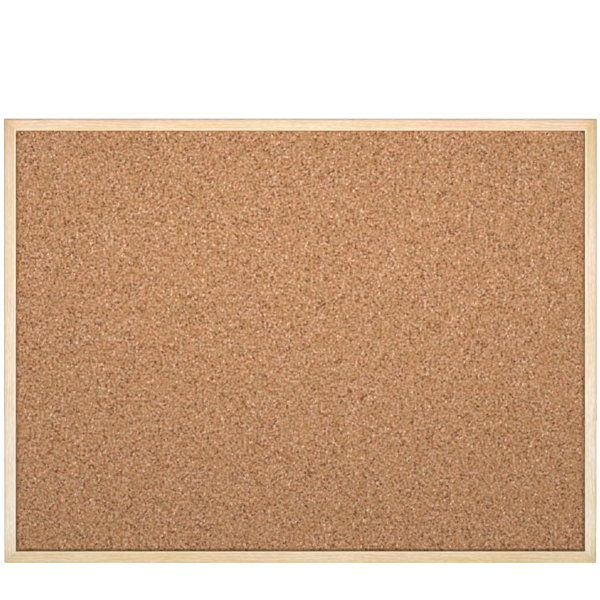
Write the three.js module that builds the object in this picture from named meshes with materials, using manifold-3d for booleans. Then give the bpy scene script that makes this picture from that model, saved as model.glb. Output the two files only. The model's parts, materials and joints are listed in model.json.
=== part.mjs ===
// A cork notice board in a narrow mitred pine frame, 600 x 450 mm.
// Sizes are in millimetres. +X runs to the right as seen from the front, +Z is up and the
// front faces -Y. The origin is the board's centre on the wall plane, the plane that the rear
// bumpers and the hanger knuckles touch when the board hangs on a wall.
import * as THREE from "three";
import { mergeVertices } from "three/addons/utils/BufferGeometryUtils.js";
import Module from "manifold-3d";

const wasm = await Module();
wasm.setup();

// Rails: one rebated moulding, mitred at both ends
const boardWidth = 600;
const boardHeight = 450;
const railFace = 12; // rail width seen from the front
const lipReach = 3.5; // how far the front lip covers the panel's edge
const lipDepth = 3; // from the rail's front to the back of the lip
const outerArris = 1.6; // rounding of the outer front edge
const sightArris = 0.7; // rounding of the edge beside the cork
const rearArris = 0.6; // rounding of the outer rear edge
const mitreGap = 0.1; // glue line between two mitred ends

// Panel: cork on a softboard core with a hardboard back, laid in the rebate from behind
const corkThickness = 2;
const coreThickness = 6;
const backThickness = 2.5;
const glueLine = 0.1;
const panelClearance = 0.8; // panel edge to rebate wall, all round
const rearRecess = 2.2; // from the back panel to the rear of the rails

// V-nails: bent steel strip driven into each mitre from behind
const nailSheet = 0.6;
const nailLeg = 6;
const nailHeight = 8;
const nailSetback = 2.6; // outer edge of the frame to the nail's legs
const nailSink = 0.3; // below the rear of the rails
const nailClearance = 0.15;

// Retainer tabs: flat steel points shot into the rebate wall to hold the panel in
const tabWidth = 6;
const tabSheet = 0.5;
const tabBite = 5; // length in the wood
const tabReach = 9; // length over the back panel
const tabTip = 2.5; // length of the pointed end
const tabBlunt = 1.5; // corner radius of the other end
const tabClearance = 0.15;
const tabsOnLongSide = 3;
const tabsOnShortSide = 2;

// Ring hangers: a folded steel strap that carries a D-shaped wire ring
const strapSheet = 0.8;
const strapWidth = 6.4;
const strapPinch = Math.PI / 3; // how far round the knuckle the fold closes
const wireRadius = 1;
const wirePlay = 0.2; // radial play of the wire in the knuckle
const ringSideGap = 0.4; // strap's edge to the ring's legs
const ringReach = 9; // hinge axis to the middle of the far wire
const ringCorner = 1.6; // bend between the ring's bar and its legs
const ringRestGap = 0.3; // hanging ring to the strap that it rests on
const hangerDrop = 70; // top of the board to the hinge axis

// Hanger screws: pan head, cross recess
const screwToRing = 0.5; // screw head to the hanging ring above it
const shankRadius = 1.1;
const shankLength = 11;
const shankTip = 3;
const headRadius = 2.3;
const headHeight = 1.5;
const headRim = 0.5;
const screwClearance = 0.2; // radial, in the strap and in the pilot hole
const recessWidth = 0.7;
const recessSpan = 2.8;
const recessDepth = 0.8;

// Wall bumpers: soft pads on the rear of the bottom rail
const bumperRadius = 3.5;
const bumperFaceRadius = 2.6;
const bumperWaist = 1.2; // height of the straight part
const bumperPlace = 22; // side of the board to the bumper's centre

// Shared clearances and mesh fineness
const seatGap = 0.1; // between pieces that lie on each other
const cutOverrun = 1; // how far a cut runs past the surface it opens
const arcSteps = 8;
const roundSteps = 24;
const wireSides = 10;
const ringSteps = 44;

// Derived places
const landWidth = railFace - lipReach; // width of the rail behind the lip
const corkFront = lipDepth + glueLine;
const coreFront = corkFront + corkThickness + glueLine;
const backFront = coreFront + coreThickness + glueLine;
const panelRear = backFront + backThickness;
const railDepth = panelRear + rearRecess;
const boreRadius = wireRadius + wirePlay;
const knuckleRadius = boreRadius + strapSheet;
const rearY = -(2 * knuckleRadius + seatGap); // rear of the rails
const frontY = rearY - railDepth; // front of the rails
const ringHalfWidth = strapWidth / 2 + ringSideGap + wireRadius; // to the middle of a leg
const hangerInset = ringHalfWidth + wireRadius; // side of the board to the strap's middle
const screwDrop = ringReach + wireRadius + screwToRing + headRadius; // hinge axis to the screw

const pine = new THREE.MeshStandardMaterial({ color: "#ecd6b4", roughness: 0.62, metalness: 0 });
const cork = new THREE.MeshStandardMaterial({ color: "#ba8a64", roughness: 0.92, metalness: 0 });
const softboard = new THREE.MeshStandardMaterial({ color: "#b39a72", roughness: 0.95, metalness: 0 });
const hardboard = new THREE.MeshStandardMaterial({ color: "#7b5636", roughness: 0.7, metalness: 0 });
const zincSteel = new THREE.MeshStandardMaterial({ color: "#b9bcbe", roughness: 0.35, metalness: 1 });
const darkSteel = new THREE.MeshStandardMaterial({ color: "#8c8e90", roughness: 0.45, metalness: 1 });
const rubber = new THREE.MeshStandardMaterial({ color: "#d9d8d2", roughness: 0.55, metalness: 0 });

const point = (x, y) => new THREE.Vector2(x, y);

function named(name, geometry, material) {
  const mesh = new THREE.Mesh(geometry, material);
  mesh.name = name;
  return mesh;
}

// A closed three.js geometry as a solid that can be cut
function solidOf(geometry) {
  const bare = new THREE.BufferGeometry();
  bare.setAttribute("position", geometry.getAttribute("position"));
  bare.setIndex(geometry.index);
  const merged = mergeVertices(bare);
  return new wasm.Manifold(
    new wasm.Mesh({
      numProp: 3,
      vertProperties: merged.getAttribute("position").array,
      triVerts: new Uint32Array(merged.index.array),
    }),
  );
}

function geometryOf(solid) {
  const mesh = solid.getMesh();
  const geometry = new THREE.BufferGeometry();
  geometry.setAttribute("position", new THREE.BufferAttribute(mesh.vertProperties, 3));
  geometry.setIndex(new THREE.BufferAttribute(mesh.triVerts, 1));
  const faceted = geometry.toNonIndexed();
  faceted.computeVertexNormals();
  return faceted;
}

function subtractAll(geometry, cutters) {
  const cut = cutters.reduce((solid, cutter) => solid.subtract(solidOf(cutter)), solidOf(geometry));
  return geometryOf(cut);
}

// An outline drawn in X and Z, with its rear face at the given Y and its thickness towards -Y
function extrudeForward(shape, thickness, rear) {
  const options = { depth: thickness, bevelEnabled: false, curveSegments: arcSteps };
  return new THREE.ExtrudeGeometry(shape, options).rotateX(Math.PI / 2).translate(0, rear, 0);
}

// An outline drawn in Y and Z, centred on X = 0
function extrudeSideways(shape, width) {
  const options = { depth: width, bevelEnabled: false, curveSegments: arcSteps };
  const geometry = new THREE.ExtrudeGeometry(shape, options);
  return geometry.rotateX(Math.PI / 2).rotateZ(Math.PI / 2).translate(-width / 2, 0, 0);
}

// A rail lies in its own frame: x inwards from the outer edge, y backwards from the front face
// and z along its length. All four sides use it, turned about Y.
function railSection() {
  const section = new THREE.Shape();
  section.moveTo(outerArris, 0);
  section.lineTo(railFace - sightArris, 0);
  section.absarc(railFace - sightArris, sightArris, sightArris, -Math.PI / 2, 0, false);
  section.lineTo(railFace, lipDepth);
  section.lineTo(landWidth, lipDepth);
  section.lineTo(landWidth, railDepth);
  section.lineTo(rearArris, railDepth);
  section.absarc(rearArris, railDepth - rearArris, rearArris, Math.PI / 2, Math.PI, false);
  section.lineTo(0, outerArris);
  section.absarc(outerArris, outerArris, outerArris, Math.PI, 1.5 * Math.PI, false);
  return section;
}

function mitredRail(length) {
  const options = { depth: length, bevelEnabled: false, curveSegments: arcSteps };
  const geometry = new THREE.ExtrudeGeometry(railSection(), options);
  const places = geometry.getAttribute("position");
  const setback = mitreGap * Math.SQRT1_2;
  for (let i = 0; i < places.count; i += 1) {
    const inwards = places.getX(i) + setback;
    places.setZ(i, places.getZ(i) < length / 2 ? inwards : length - inwards);
  }
  return geometry;
}

// The V-nail's outline at a corner of the frame. Its two legs run along the two rails.
// place turns distances from the two outer edges into a point, and grow widens the outline.
function chevron(place, grow) {
  const near = nailSetback - grow;
  const inner = nailSetback + nailSheet + grow;
  const far = nailSetback + nailLeg + grow;
  const corners = [
    [near, near],
    [far, near],
    [far, inner],
    [inner, inner],
    [inner, far],
    [near, far],
  ];
  return new THREE.Shape(corners.map(([a, b]) => place(a, b)));
}

function nailSlot(place) {
  const depth = nailHeight + nailSink + nailClearance + cutOverrun;
  return extrudeForward(chevron(place, nailClearance), depth, railDepth + cutOverrun);
}

function tabOutline(along) {
  const half = tabWidth / 2;
  const tip = landWidth - tabBite;
  const end = landWidth + tabReach;
  const outline = new THREE.Shape();
  outline.moveTo(tip, along);
  outline.lineTo(tip + tabTip, along - half);
  outline.lineTo(end - tabBlunt, along - half);
  outline.absarc(end - tabBlunt, along - half + tabBlunt, tabBlunt, -Math.PI / 2, 0, false);
  outline.absarc(end - tabBlunt, along + half - tabBlunt, tabBlunt, 0, Math.PI / 2, false);
  outline.lineTo(tip + tabTip, along + half);
  return outline;
}

function tabSlot(along) {
  const length = tabBite + tabClearance + cutOverrun;
  const height = tabSheet + 2 * tabClearance;
  const slot = new THREE.BoxGeometry(length, height, tabWidth + 2 * tabClearance);
  const middle = landWidth + cutOverrun - length / 2;
  return slot.translate(middle, panelRear + seatGap + tabSheet / 2, along);
}

function pilotHole(along) {
  const depth = shankLength - 2 * strapSheet - seatGap + screwClearance + cutOverrun;
  const radius = shankRadius + screwClearance;
  const hole = new THREE.CylinderGeometry(radius, radius, depth, roundSteps);
  return hole.translate(hangerInset, railDepth + cutOverrun - depth / 2, along);
}

// One side of the frame: the rail and the tabs shot into it. The hanger's screw, where the side
// has one, is screwAlong from the rail's start.
function frameSide(name, length, tabs, screwAlong) {
  const group = new THREE.Group();
  const tabPlaces = Array.from({ length: tabs }, (_, i) => (length * (i + 0.5)) / tabs);
  const cutters = tabPlaces.map(tabSlot);
  cutters.push(nailSlot((across, along) => point(across, along)));
  cutters.push(nailSlot((across, along) => point(across, length - along)));
  if (screwAlong !== undefined) cutters.push(pilotHole(screwAlong));
  group.add(named(`rail_${name}`, subtractAll(mitredRail(length), cutters), pine));
  tabPlaces.forEach((along, i) => {
    const tab = extrudeForward(tabOutline(along), tabSheet, panelRear + seatGap + tabSheet);
    group.add(named(`retainer_tab_${name}_${i + 1}`, tab, darkSteel));
  });
  return group;
}

function frame() {
  const screwFromTop = hangerDrop + screwDrop;
  const left = frameSide("left", boardHeight, tabsOnShortSide, boardHeight - screwFromTop);
  left.position.set(-boardWidth / 2, frontY, -boardHeight / 2);
  const top = frameSide("top", boardWidth, tabsOnLongSide);
  top.position.set(-boardWidth / 2, frontY, boardHeight / 2);
  top.rotation.y = Math.PI / 2;
  const right = frameSide("right", boardHeight, tabsOnShortSide, screwFromTop);
  right.position.set(boardWidth / 2, frontY, boardHeight / 2);
  right.rotation.y = Math.PI;
  const bottom = frameSide("bottom", boardWidth, tabsOnLongSide);
  bottom.position.set(boardWidth / 2, frontY, -boardHeight / 2);
  bottom.rotation.y = -Math.PI / 2;
  return new THREE.Group().add(left, top, right, bottom);
}

function vNails() {
  const group = new THREE.Group();
  for (const [row, z] of [["top", 1], ["bottom", -1]]) {
    for (const [column, x] of [["left", -1], ["right", 1]]) {
      const place = (a, b) => point(x * (boardWidth / 2 - a), z * (boardHeight / 2 - b));
      const nail = extrudeForward(chevron(place, 0), nailHeight, rearY - nailSink);
      group.add(named(`v_nail_${row}_${column}`, nail, darkSteel));
    }
  }
  return group;
}

function panel() {
  const inset = landWidth + panelClearance;
  const width = boardWidth - 2 * inset;
  const height = boardHeight - 2 * inset;
  const layers = [
    ["cork_sheet", corkFront, corkThickness, cork],
    ["core_board", coreFront, coreThickness, softboard],
    ["back_panel", backFront, backThickness, hardboard],
  ];
  const group = new THREE.Group();
  for (const [name, front, thickness, material] of layers) {
    const layer = named(name, new THREE.BoxGeometry(width, thickness, height), material);
    layer.position.y = frontY + front + thickness / 2;
    group.add(layer);
  }
  return group;
}

// The strap's side view about the hinge axis: a knuckle round the wire, closed to a double plate
function strapSideView() {
  const back = -knuckleRadius;
  const face = back + 2 * strapSheet;
  const closeY = knuckleRadius * Math.cos(strapPinch);
  const closeZ = -knuckleRadius * Math.sin(strapPinch);
  const faceTop = (face * Math.cos(strapPinch) - knuckleRadius) / Math.sin(strapPinch);
  const end = -screwDrop - strapWidth / 2 - cutOverrun;
  const view = new THREE.Shape();
  view.moveTo(back, end);
  view.lineTo(back, 0);
  view.absarc(0, 0, knuckleRadius, Math.PI, -strapPinch, true);
  view.lineTo(closeY, closeZ);
  view.lineTo(face, faceTop);
  view.lineTo(face, end);
  const bore = new THREE.Path();
  bore.absarc(0, 0, boreRadius, 0, 2 * Math.PI, false);
  view.holes.push(bore);
  return view;
}

// The strap's rear view: straight sides and a lower end rounded about the screw
function strapRearView() {
  const half = strapWidth / 2;
  const top = knuckleRadius + cutOverrun;
  const view = new THREE.Shape();
  view.moveTo(half, top);
  view.lineTo(-half, top);
  view.absarc(0, -screwDrop, half, Math.PI, 2 * Math.PI, false);
  return view;
}

function hangerStrap() {
  const depth = 2 * (knuckleRadius + cutOverrun);
  const rearView = extrudeForward(strapRearView(), depth, depth / 2);
  const side = extrudeSideways(strapSideView(), strapWidth + 2 * cutOverrun);
  const strap = solidOf(side).intersect(solidOf(rearView));
  const radius = shankRadius + screwClearance;
  const hole = new THREE.CylinderGeometry(radius, radius, depth, roundSteps);
  hole.translate(0, 0, -screwDrop);
  return geometryOf(strap.subtract(solidOf(hole)));
}

// The ring's centreline in X and Z: a straight bar on the hinge axis, two legs and a half round
function ringLine() {
  const half = ringHalfWidth;
  const bend = ringCorner;
  const archZ = -(ringReach - half);
  const line = new THREE.Path();
  line.moveTo(-half + bend, 0);
  line.lineTo(half - bend, 0);
  line.absarc(half - bend, -bend, bend, Math.PI / 2, 0, true);
  line.lineTo(half, archZ);
  line.absarc(0, archZ, half, 0, -Math.PI, true);
  line.lineTo(-half, -bend);
  line.absarc(-half + bend, -bend, bend, Math.PI, Math.PI / 2, true);
  return line;
}

// A round wire bent along a closed line in X and Z
function wireLoop(line, radius) {
  const centres = line.getSpacedPoints(ringSteps).slice(0, ringSteps);
  const places = [];
  const faces = [];
  centres.forEach((centre, i) => {
    const before = centres[(i + ringSteps - 1) % ringSteps];
    const after = centres[(i + 1) % ringSteps];
    const across = after.clone().sub(before).normalize().rotateAround(point(0, 0), Math.PI / 2);
    for (let j = 0; j < wireSides; j += 1) {
      const turn = (2 * Math.PI * j) / wireSides;
      const out = radius * Math.cos(turn);
      const side = radius * Math.sin(turn);
      places.push(centre.x + across.x * out, side, centre.y + across.y * out);
      const a = i * wireSides + j;
      const b = i * wireSides + ((j + 1) % wireSides);
      const c = ((i + 1) % ringSteps) * wireSides + j;
      const d = ((i + 1) % ringSteps) * wireSides + ((j + 1) % wireSides);
      faces.push(a, c, b, b, c, d);
    }
  });
  const geometry = new THREE.BufferGeometry();
  geometry.setAttribute("position", new THREE.Float32BufferAttribute(places, 3));
  geometry.setIndex(faces);
  geometry.computeVertexNormals();
  return geometry;
}

// The ring hangs under gravity until its far wire rests on the strap's face
function hangerRing(name) {
  const ring = named(name, wireLoop(ringLine(), wireRadius), zincSteel);
  const strapFace = -knuckleRadius + 2 * strapSheet;
  ring.rotation.x = Math.asin((strapFace + ringRestGap + wireRadius) / ringReach);
  return ring;
}

// The screw stands on y = 0 under its head, with its shank towards -Y
function hangerScrew() {
  const dome = headHeight - headRim;
  const profile = [point(0, -shankLength), point(shankRadius, shankTip - shankLength)];
  profile.push(point(shankRadius, 0), point(headRadius, 0), point(headRadius, headRim));
  for (let i = 1; i < arcSteps; i += 1) {
    const turn = (Math.PI * i) / (2 * arcSteps);
    profile.push(point(headRadius * Math.cos(turn), headRim + dome * Math.sin(turn)));
  }
  profile.push(point(0, headHeight));
  const body = new THREE.LatheGeometry(profile, roundSteps);
  const height = recessDepth + cutOverrun;
  const middle = headHeight - recessDepth + height / 2;
  const slots = [
    new THREE.BoxGeometry(recessSpan, height, recessWidth).translate(0, middle, 0),
    new THREE.BoxGeometry(recessWidth, height, recessSpan).translate(0, middle, 0),
  ];
  return subtractAll(body, slots);
}

function hanger(side, x) {
  const group = new THREE.Group();
  group.position.set(x, rearY + seatGap + knuckleRadius, boardHeight / 2 - hangerDrop);
  group.add(named(`hanger_strap_${side}`, hangerStrap(), zincSteel));
  group.add(hangerRing(`hanger_ring_${side}`));
  const screw = named(`hanger_screw_${side}`, hangerScrew(), zincSteel);
  screw.position.set(0, 2 * strapSheet + seatGap - knuckleRadius, -screwDrop);
  group.add(screw);
  return group;
}

function wallBumper(name, x) {
  const height = -rearY - seatGap;
  const profile = [
    point(0, 0),
    point(bumperRadius, 0),
    point(bumperRadius, bumperWaist),
    point(bumperFaceRadius, height),
    point(0, height),
  ];
  const bumper = named(name, new THREE.LatheGeometry(profile, roundSteps), rubber);
  const inset = (rearArris + landWidth) / 2;
  bumper.position.set(x, rearY + seatGap, inset - boardHeight / 2);
  return bumper;
}

const corkBoard = new THREE.Group();
corkBoard.name = "cork_board";
corkBoard.add(frame(), vNails(), panel());
corkBoard.add(hanger("left", hangerInset - boardWidth / 2));
corkBoard.add(hanger("right", boardWidth / 2 - hangerInset));
corkBoard.add(wallBumper("wall_bumper_left", bumperPlace - boardWidth / 2));
corkBoard.add(wallBumper("wall_bumper_right", boardWidth / 2 - bumperPlace));

export default corkBoard;
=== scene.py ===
# Cork board in a narrow mitred pine frame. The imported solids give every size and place. This
# script gives them their finish, and remakes the cork, the ring hangers, their screws and the
# wall bumpers as finer meshes.
import json
import math

import bmesh
import bpy
import numpy as np
from mathutils import Matrix, Vector


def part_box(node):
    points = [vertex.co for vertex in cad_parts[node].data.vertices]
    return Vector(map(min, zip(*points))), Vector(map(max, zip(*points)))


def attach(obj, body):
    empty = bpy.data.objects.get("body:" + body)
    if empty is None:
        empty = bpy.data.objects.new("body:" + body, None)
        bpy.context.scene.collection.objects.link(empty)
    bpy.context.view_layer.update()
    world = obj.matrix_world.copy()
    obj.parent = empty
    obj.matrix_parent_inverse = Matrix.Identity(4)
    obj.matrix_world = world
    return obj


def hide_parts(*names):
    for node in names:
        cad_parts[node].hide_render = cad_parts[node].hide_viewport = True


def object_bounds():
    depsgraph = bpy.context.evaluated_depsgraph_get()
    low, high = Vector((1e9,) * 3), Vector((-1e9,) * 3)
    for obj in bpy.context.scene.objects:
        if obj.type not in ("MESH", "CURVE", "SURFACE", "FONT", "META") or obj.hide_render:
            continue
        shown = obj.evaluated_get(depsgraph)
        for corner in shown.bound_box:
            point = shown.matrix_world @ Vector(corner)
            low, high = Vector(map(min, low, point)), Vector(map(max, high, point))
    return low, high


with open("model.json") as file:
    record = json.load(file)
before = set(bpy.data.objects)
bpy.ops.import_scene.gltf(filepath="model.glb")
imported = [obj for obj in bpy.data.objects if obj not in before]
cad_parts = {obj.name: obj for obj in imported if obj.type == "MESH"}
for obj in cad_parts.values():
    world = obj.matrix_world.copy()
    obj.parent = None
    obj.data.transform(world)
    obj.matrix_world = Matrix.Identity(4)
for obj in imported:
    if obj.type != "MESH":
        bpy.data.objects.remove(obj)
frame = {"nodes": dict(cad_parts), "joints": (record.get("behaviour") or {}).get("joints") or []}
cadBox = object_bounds()
scene = bpy.context.scene
mm = 0.001
frontFace = cadBox[0].y / mm
halfWidth, halfHeight = cadBox[1].x / mm, cadBox[1].z / mm
railLip = 12.0  # from the outside of a rail to the edge of its lip, in millimetres

# Camera, light and floor

viewLook = {
    "imageSize": 600,  # pixels, square
    "boardCentre": (300.4, 340.95),  # the pixel that the board's centre falls on
    "pixelOnFront": 1.0115 * mm,  # a pixel's size on the front of the frame
    "distance": 2.0,  # from the front of the frame, in metres
    "sensor": 36.0,
}

lightLook = {
    "front": {"at": (0, -0.48, 0.13), "aim": (0, 0, 0.13), "size": (0.8, 0.2), "watts": 2.2},
    "lowLeft": {"at": (-3.2, -2.8, -2.5), "aim": (0, 0, 0), "size": (0.4, 0.4), "watts": 109.5},
    "lowRight": {"at": (3.2, -2.8, -2.5), "aim": (0, 0, 0), "size": (0.4, 0.4), "watts": 109.5},
    "behind": {"at": (1.2, 3.0, 1.6), "aim": (0, 0, 0), "size": (1.6, 1.2), "watts": 110.0},
}

stageLook = {
    "backdrop": 1.02,  # what the camera sees past the board
    "roomFront": 0.055,  # soft light of the room from the front
    "roomRear": 0.6,  # and from behind, where it can't reach the cork
    "rearEdges": (-0.35, 0.45),  # where along Y the one turns into the other
    "roomTop": 0.66,  # and from straight above
    "topEdges": (0.5, 0.95),
    "floorDrop": 0.4,  # below the board
    "floorRadius": 9.0,
    "floorSides": 96,
    "floorTone": (0.9, 0.9, 0.89),
    "floorGlow": 1.02,
    "floorRoughness": 0.9,
}


def linkObject(name, data):
    made = bpy.data.objects.new(name, data)
    scene.collection.objects.link(made)
    return made


def addCamera(look):
    shift = [(pixel - look["imageSize"] / 2) * look["pixelOnFront"] for pixel in look["boardCentre"]]
    data = bpy.data.cameras.new("camera")
    data.sensor_width = look["sensor"]
    data.lens = look["sensor"] * look["distance"] / (look["imageSize"] * look["pixelOnFront"])
    camera = linkObject("camera", data)
    camera.location = (-shift[0], cadBox[0].y - look["distance"], shift[1])
    camera.rotation_euler = (math.pi / 2, 0, 0)
    scene.camera = camera


def addLight(name, look):
    data = bpy.data.lights.new(name, "AREA")
    data.shape = "RECTANGLE"
    data.size, data.size_y = look["size"]
    data.energy = look["watts"]
    light = linkObject(name, data)
    light.location = look["at"]
    light.rotation_euler = (Vector(look["aim"]) - Vector(look["at"])).to_track_quat("-Z", "Y").to_euler()
    light.visible_camera = False


# Node helpers


def addNode(kind, inputs, **settings):
    # A node in the tree of what is linked to it: its settings first, then each socket
    links = {key: value for key, value in inputs.items() if isinstance(value, bpy.types.NodeSocket)}
    tree = next(iter(links.values())).id_data
    node = tree.nodes.new("ShaderNode" + kind)
    for key, value in settings.items():
        setattr(node, key, value)
    for key, value in inputs.items():
        if key in links:
            tree.links.new(value, node.inputs[key])
        else:
            node.inputs[key].default_value = value
    return node


def calc(operation, a, b=0.0):
    return addNode("Math", {0: a, 1: b}, operation=operation).outputs[0]


def times(first, *others):
    product = first
    for other in others:
        product = calc("MULTIPLY", product, other)
    return product


def plus(a, b):
    return calc("ADD", a, b)


def minus(a, b):
    return calc("SUBTRACT", a, b)


def weighed(*pairs):
    # The sum of values, each times its weight
    total = 0.0
    for value, weight in pairs:
        total = addNode("Math", {0: value, 1: weight, 2: total}, operation="MULTIPLY_ADD").outputs[0]
    return total


def calcVector(operation, a, b=(0, 0, 0), output=0):
    return addNode("VectorMath", {0: a, 1: b}, operation=operation).outputs[output]


def scaled(vector, factors):
    return calcVector("MULTIPLY", vector, factors)


def centred(noise, reach):
    # A cloud's colour as a shift that goes both ways
    return scaled(calcVector("SUBTRACT", noise, (0.5, 0.5, 0.5)), reach)


def axesOf(vector):
    return addNode("SeparateXYZ", {0: vector}).outputs


def joined(x, y, z=0.0):
    return addNode("CombineXYZ", {0: x, 1: y, 2: z}).outputs[0]


def turnedAboutY(place, angle):
    sockets = {"Vector": place, "Angle": angle}
    return addNode("VectorRotate", sockets, rotation_type="Y_AXIS").outputs[0]


def remap(value, low, high, toLow=0.0, toHigh=1.0, curve="SMOOTHSTEP"):
    sockets = {0: value, 1: low, 2: high, 3: toLow, 4: toHigh}
    return addNode("MapRange", sockets, interpolation_type=curve).outputs[0]


def between(share, low, high):
    return remap(share, 0.0, 1.0, low, high, "LINEAR")


def mixColour(factor, a, b, blend="MIX"):
    node = addNode("Mix", {0: factor, 6: a, 7: b}, data_type="RGBA", blend_type=blend)
    return node.outputs[2]


def paint(colour, coat, *shares):
    # A tone laid over a colour, by the product of its shares
    return mixColour(times(*shares), colour, coat)


def tinted(colour, tint, share):
    return mixColour(share, colour, mixColour(1.0, colour, tint, "MULTIPLY"))


def colourRamp(value, stops):
    node = addNode("ValToRGB", {0: value})
    ramp = node.color_ramp
    while len(ramp.elements) < len(stops):
        ramp.elements.new(1.0)
    for element, (place, colour) in zip(ramp.elements, stops):
        element.position = place
        element.color = colour
    return node.outputs[0]


def cloud(place, scale, detail=2.0, roughness=0.5, seed=0.0, output=0):
    sockets = {"Vector": place, "W": seed, "Scale": scale, "Detail": detail, "Roughness": roughness}
    return addNode("TexNoise", sockets, noise_dimensions="4D").outputs[output]


def flatCloud(place, size, detail, output=0):
    sockets = {"Vector": place, "Scale": 1 / size, "Detail": detail}
    return addNode("TexNoise", sockets, noise_dimensions="2D").outputs[output]


def flatCells(place, scale, **settings):
    sockets = {"Vector": place, "Scale": scale}
    return addNode("TexVoronoi", sockets, voronoi_dimensions="2D", **settings).outputs


def drawsOf(cells):
    # Random numbers, one set for each cell
    return addNode("SeparateColor", {0: cells["Color"]}).outputs


def tone(red, green, blue):
    # A screen colour, 0 to 255, as the linear colour that shaders take
    shares = (value / 255 for value in (red, green, blue))
    return tuple(s / 12.92 if s < 0.04 else ((s + 0.055) / 1.055) ** 2.4 for s in shares) + (1.0,)


def nodeGroup(*labels):
    # Makes a function's nodes once, in a shared group. Its name then adds the group to a material.
    def build(makeNodes):
        tree = bpy.data.node_groups.new(makeNodes.__name__, "ShaderNodeTree")
        for label in labels:
            kind = "NodeSocketVector" if label in ("Place", "Heart") else "NodeSocketFloat"
            tree.interface.new_socket(label, in_out="INPUT", socket_type=kind)
        made = makeNodes(*tree.nodes.new("NodeGroupInput").outputs[:len(labels)])
        for label in made:
            tree.interface.new_socket(label, in_out="OUTPUT", socket_type="NodeSocketFloat")
        leave = tree.nodes.new("NodeGroupOutput")
        for label, value in made.items():
            tree.links.new(value, leave.inputs[label])

        def useGroup(*values):
            outputs = addNode("Group", dict(zip(labels, values)), node_tree=tree).outputs
            return outputs if len(made) > 1 else outputs[0]
        return useGroup
    return build


def newMaterial(name, specular=0.5, metallic=0.0):
    # A material with a plain Principled shader, and the place on the piece in millimetres
    material = bpy.data.materials.new(name)
    material.use_nodes = True
    tree = material.node_tree
    tree.nodes.clear()
    shader = tree.nodes.new("ShaderNodeBsdfPrincipled")
    shader.inputs["Specular IOR Level"].default_value = specular
    shader.inputs["Metallic"].default_value = metallic
    ending = tree.nodes.new("ShaderNodeOutputMaterial")
    tree.links.new(shader.outputs[0], ending.inputs[0])
    where = tree.nodes.new("ShaderNodeTexCoord").outputs["Object"]
    return material, tree, shader, scaled(where, (1 / mm, 1 / mm, 1 / mm))


def finishMaterial(tree, shader, colour, roughness, height, depth):
    # depth is the bump's height in millimetres
    bump = addNode("Bump", {"Strength": 1.0, "Distance": depth * mm, "Height": height})
    tree.links.new(colour, shader.inputs["Base Color"])
    tree.links.new(roughness, shader.inputs["Roughness"])
    tree.links.new(bump.outputs[0], shader.inputs["Normal"])


# Shared effects. Every group takes places and sizes in millimetres. Edges are the two values
# between which a mark comes up.

grainLook = {
    "marks": {  # length along the grain, width across it, detail and edges
        "Streaks": (60, 2.6, 2, (0.25, 0.75)),
        "Bands": (90, 4.5, 1, (0.31, 0.69)),
        "Shade": (26, 1.8, 2, (0.3, 0.7)),
        "Flecks": (4.5, 1.1, 1, (0.3, 0.7)),
        "Pores": (7, 0.45, 1, (0.7, 0.8)),
    },
    "fibre": (24, 0.25), "fibreRoughness": 0.6,
    "wander": (160, 40), "drift": 16,  # how far and how much the rings stray
    "earlyEdges": (0.1, 0.86), "lateEdges": (1.0, 0.95),  # a ring darkens slowly and ends sharply
    "lateness": 3.0,
}

effectLook = {
    "speckStretch": 0.6, "speckEdges": (0.42, 0.3),
    "wearEdges": (0.995, 0.86),  # cosine of the angle to the rounded normal
    "wearGritEdges": (0.3, 0.6),
    "fibreTurns": (0, 38, 82, 131), "fibreEdges": (0.45, 0.8), "fibreSeed": 7.3,
    "lumps": 1.4,  # in a fibre's length
    "scratchTurns": (25, 112), "scratchEdges": (0.66, 0.74),
    "dustTilt": (0.35, 0.95), "dustDrift": 6.0, "dustEdges": (0.35, 0.65),
    "patchEdges": (0.3, 0.7),
}


@nodeGroup("Place", "Heart", "Ring", "Seed")
def woodGrain(place, heart, ring, seed):
    # Growth rings about a heart beside the plank, fibres, and other marks drawn out along X
    def alongGrain(length, width):
        return scaled(place, (1 / length, 1 / width, 1 / width))

    wander = cloud(alongGrain(*grainLook["wander"]), 1, seed=seed, output=1)
    drift = centred(wander, (0, grainLook["drift"], grainLook["drift"]))
    fromHeart = calcVector("SUBTRACT", calcVector("ADD", place, drift), heart)
    radius = calcVector("LENGTH", scaled(fromHeart, (0, 1, 1)), output="Value")
    phase = calc("FRACT", calc("DIVIDE", radius, ring))
    early = calc("POWER", remap(phase, *grainLook["earlyEdges"]), grainLook["lateness"])
    made = {"Rings": times(early, remap(phase, *grainLook["lateEdges"]))}
    made["Fibres"] = cloud(alongGrain(*grainLook["fibre"]), 1, 2, grainLook["fibreRoughness"], seed)
    for label, (length, width, detail, edges) in grainLook["marks"].items():
        made[label] = remap(cloud(alongGrain(length, width), 1, detail, seed=seed), *edges)
    return made


def inverse(value):
    return calc("DIVIDE", 1.0, value)


@nodeGroup("Place", "Size", "Seed")
def blotches(place, size, seed):
    # Broad soft patches about one size across
    return {"Patches": remap(cloud(place, inverse(size), 3, 0.55, seed), *effectLook["patchEdges"])}


@nodeGroup("Place", "Cell", "Share", "Turn")
def specks(place, cell, share, turn):
    # Longish specks across X and Z, one in each cell that the share picks
    axes = axesOf(turnedAboutY(place, turn))
    cells = flatCells(joined(times(axes["X"], effectLook["speckStretch"]), axes["Z"]), inverse(cell))
    picked = calc("LESS_THAN", drawsOf(cells)["Red"], share)
    return {"Specks": times(picked, remap(cells["Distance"], *effectLook["speckEdges"]))}


def surfaceNormal(place):
    return place.id_data.nodes.new("ShaderNodeNewGeometry").outputs["Normal"]


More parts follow.
